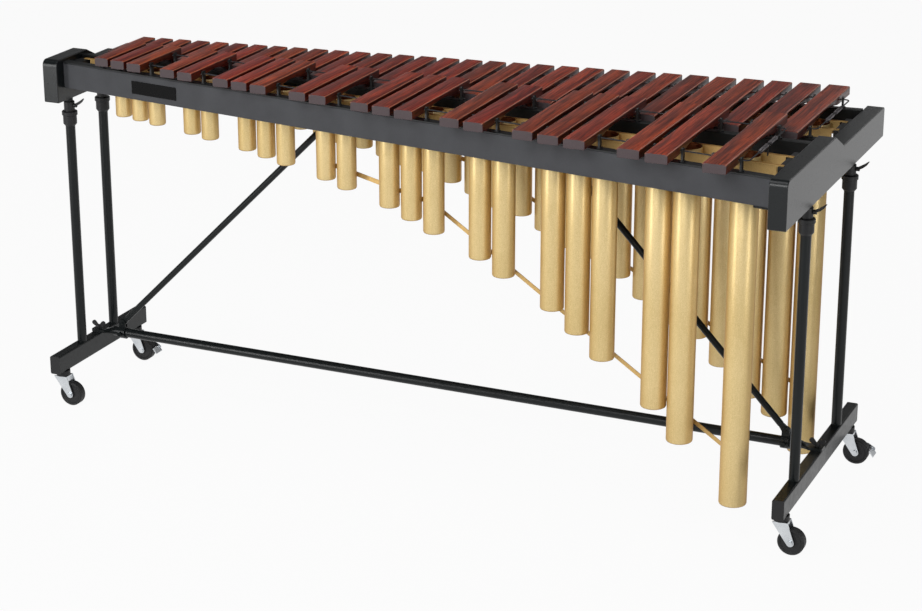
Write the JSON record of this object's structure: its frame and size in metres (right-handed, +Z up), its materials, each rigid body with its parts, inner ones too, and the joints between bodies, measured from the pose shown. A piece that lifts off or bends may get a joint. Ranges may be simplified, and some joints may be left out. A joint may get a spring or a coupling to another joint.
{
  "type": "concert marimba",
  "caption": "Concert marimba: rosewood bars on cords over gold resonator tubes, on a height-adjustable wheeled stand.",
  "frame": {"origin": "on the floor under the middle of the instrument's bounding box", "axes": "+X towards the low notes, +Y from the audience towards the player, +Z up"},
  "size_m": [2.1934, 0.9336, 0.997],
  "materials": {
    "rosewood": "satin lacquer",
    "black_board": "satin black paint",
    "charcoal_board": "fine charcoal texture paint",
    "badge_black": "gloss",
    "black_metal": "satin black",
    "gold_tube": "satin gold",
    "post_steel": "satin",
    "cord": "braided",
    "spring_sleeve": "gloss sleeve",
    "black_plastic": "matte",
    "zinc": "zinc plated",
    "wheel_rubber": "matte"
  },
  "bodies": {
    "stand": {"outer_legs": "black_metal", "leg_clamps": "black_metal", "foot_low": "black_metal", "foot_high": "black_metal", "foot_caps": "black_plastic", "cross_brace": "black_metal", "caster_stems": "black_plastic"},
    "top_frame": {"end_board_low": "black_board", "end_board_high": "black_board", "front_rail": "charcoal_board", "front_rail_cap": "black_board", "middle_rail": "black_board", "naturals_rail": "black_board", "rear_rail": "black_board", "badge_plate": "badge_black", "rail_seat": "black_metal", "naturals_high": "rosewood", "naturals_middle": "rosewood", "naturals_low": "rosewood", "accidentals_high": "rosewood", "accidentals_low": "rosewood", "accidentals_posts": "post_steel", "naturals_posts": "post_steel", "accidentals_cord": "cord", "naturals_cord": "cord", "cord_springs": "spring_sleeve", "spring_strap": "spring_sleeve", "accidentals_tubes": "gold_tube", "naturals_tubes": "gold_tube", "accidentals_strips": "gold_tube", "naturals_strips": "gold_tube", "resonator_ledges": "black_board", "accidentals_stabiliser": "gold_tube", "naturals_stabiliser": "gold_tube", "wire_hanger": "post_steel", "hanger_screws": "post_steel", "inner_legs": "black_metal", "diagonal_brackets": "black_metal"},
    "leg_screw_low_near": {"leg_screw_low_near": "black_plastic"},
    "leg_screw_low_far": {"leg_screw_low_far": "black_plastic"},
    "leg_screw_high_near": {"leg_screw_high_near": "black_plastic"},
    "leg_screw_high_far": {"leg_screw_high_far": "black_plastic"},
    "brace_bolt_low": {"brace_bolt_low": "black_plastic"},
    "brace_bolt_high": {"brace_bolt_high": "black_plastic"},
    "brace_collar_low": {"brace_collar_low": "black_metal"},
    "diagonal_low": {"diagonal_low": "black_metal"},
    "brace_collar_high": {"brace_collar_high": "black_metal"},
    "diagonal_high": {"diagonal_high": "black_metal"},
    "fork_low_near": {"fork_low_near": "zinc"},
    "wheel_low_near": {"wheel_low_near": "wheel_rubber"},
    "fork_low_far": {"fork_low_far": "zinc"},
    "wheel_low_far": {"wheel_low_far": "wheel_rubber"},
    "brake_low_far": {"brake_low_far": "zinc"},
    "fork_high_near": {"fork_high_near": "zinc"},
    "wheel_high_near": {"wheel_high_near": "wheel_rubber"},
    "fork_high_far": {"fork_high_far": "zinc"},
    "wheel_high_far": {"wheel_high_far": "wheel_rubber"},
    "brake_high_far": {"brake_high_far": "zinc"}
  },
  "joints": [
    {"name": "height_adjust", "type": "slide", "parent": "stand", "child": "top_frame", "axis": [0, 0, 1], "range_m": [0, 0.08]},
    {"name": "collar_slide_low", "type": "slide", "parent": "stand", "child": "brace_collar_low", "axis": [0.9998, -0.0196, 0], "range_m": [-0.09613, 0]},
    {"name": "diagonal_hinge_low", "type": "hinge", "parent": "brace_collar_low", "child": "diagonal_low", "pos_m": [0.94017, 0.02131, 0.185], "axis": [0.0196, 0.9998, 0], "range_deg": [0, 7.67]},
    {"name": "collar_slide_high", "type": "slide", "parent": "stand", "child": "brace_collar_high", "axis": [0.9998, -0.0196, 0], "range_m": [0, 0.08934]},
    {"name": "diagonal_hinge_high", "type": "hinge", "parent": "brace_collar_high", "child": "diagonal_high", "pos_m": [-0.99347, 0.05914, 0.185], "axis": [0.0196, 0.9998, 0], "range_deg": [-7.13, 0]},
    {"name": "leg_screw_turn_low_near", "type": "hinge", "parent": "stand", "child": "leg_screw_low_near", "pos_m": [1.04135, -0.18928, 0.827], "axis": [1, 0, 0], "continuous": true},
    {"name": "leg_screw_turn_low_far", "type": "hinge", "parent": "stand", "child": "leg_screw_low_far", "pos_m": [1.04135, 0.20172, 0.827], "axis": [1, 0, 0], "continuous": true},
    {"name": "leg_screw_turn_high_near", "type": "hinge", "parent": "stand", "child": "leg_screw_high_near", "pos_m": [-1.05465, -0.02928, 0.827], "axis": [1, 0, 0], "continuous": true},
    {"name": "leg_screw_turn_high_far", "type": "hinge", "parent": "stand", "child": "leg_screw_high_far", "pos_m": [-1.05465, 0.13872, 0.827], "axis": [1, 0, 0], "continuous": true},
    {"name": "brace_bolt_turn_low", "type": "hinge", "parent": "stand", "child": "brace_bolt_low", "pos_m": [1.02135, 0.01972, 0.169], "axis": [0, 0, 1], "continuous": true},
    {"name": "brace_bolt_turn_high", "type": "hinge", "parent": "stand", "child": "brace_bolt_high", "pos_m": [-1.07465, 0.06072, 0.169], "axis": [0, 0, 1], "continuous": true},
    {"name": "swivel_low_near", "type": "hinge", "parent": "stand", "child": "fork_low_near", "pos_m": [1.02135, -0.28328, 0.0837], "axis": [0, 0, 1], "continuous": true},
    {"name": "roll_low_near", "type": "hinge", "parent": "fork_low_near", "child": "wheel_low_near", "pos_m": [1.04835, -0.28328, 0.0335], "axis": [0, 1, 0], "continuous": true},
    {"name": "swivel_low_far", "type": "hinge", "parent": "stand", "child": "fork_low_far", "pos_m": [1.02135, 0.32272, 0.0837], "axis": [0, 0, 1], "continuous": true},
    {"name": "roll_low_far", "type": "hinge", "parent": "fork_low_far", "child": "wheel_low_far", "pos_m": [1.04835, 0.32272, 0.0335], "axis": [0, 1, 0], "continuous": true},
    {"name": "brake_press_low_far", "type": "hinge", "parent": "fork_low_far", "child": "brake_low_far", "pos_m": [1.04235, 0.32272, 0.0535], "axis": [0, 1, 0], "range_deg": [0, 8]},
    {"name": "swivel_high_near", "type": "hinge", "parent": "stand", "child": "fork_high_near", "pos_m": [-1.07465, -0.13228, 0.0837], "axis": [0, 0, 1], "continuous": true},
    {"name": "roll_high_near", "type": "hinge", "parent": "fork_high_near", "child": "wheel_high_near", "pos_m": [-1.04765, -0.13228, 0.0335], "axis": [0, 1, 0], "continuous": true},
    {"name": "swivel_high_far", "type": "hinge", "parent": "stand", "child": "fork_high_far", "pos_m": [-1.07465, 0.25372, 0.0837], "axis": [0, 0, 1], "continuous": true},
    {"name": "roll_high_far", "type": "hinge", "parent": "fork_high_far", "child": "wheel_high_far", "pos_m": [-1.04765, 0.25372, 0.0335], "axis": [0, 1, 0], "continuous": true},
    {"name": "brake_press_high_far", "type": "hinge", "parent": "fork_high_far", "child": "brake_high_far", "pos_m": [-1.05365, 0.25372, 0.0535], "axis": [0, 1, 0], "range_deg": [0, 8]}
  ],
  "couplings": [
    {"joint": "collar_slide_low", "follows": "height_adjust", "ratio": -1.2011},
    {"joint": "diagonal_hinge_low", "follows": "height_adjust", "rad_per_m": 1.6727},
    {"joint": "collar_slide_high", "follows": "height_adjust", "ratio": 1.1162},
    {"joint": "diagonal_hinge_high", "follows": "height_adjust", "rad_per_m": -1.5548}
  ]
}
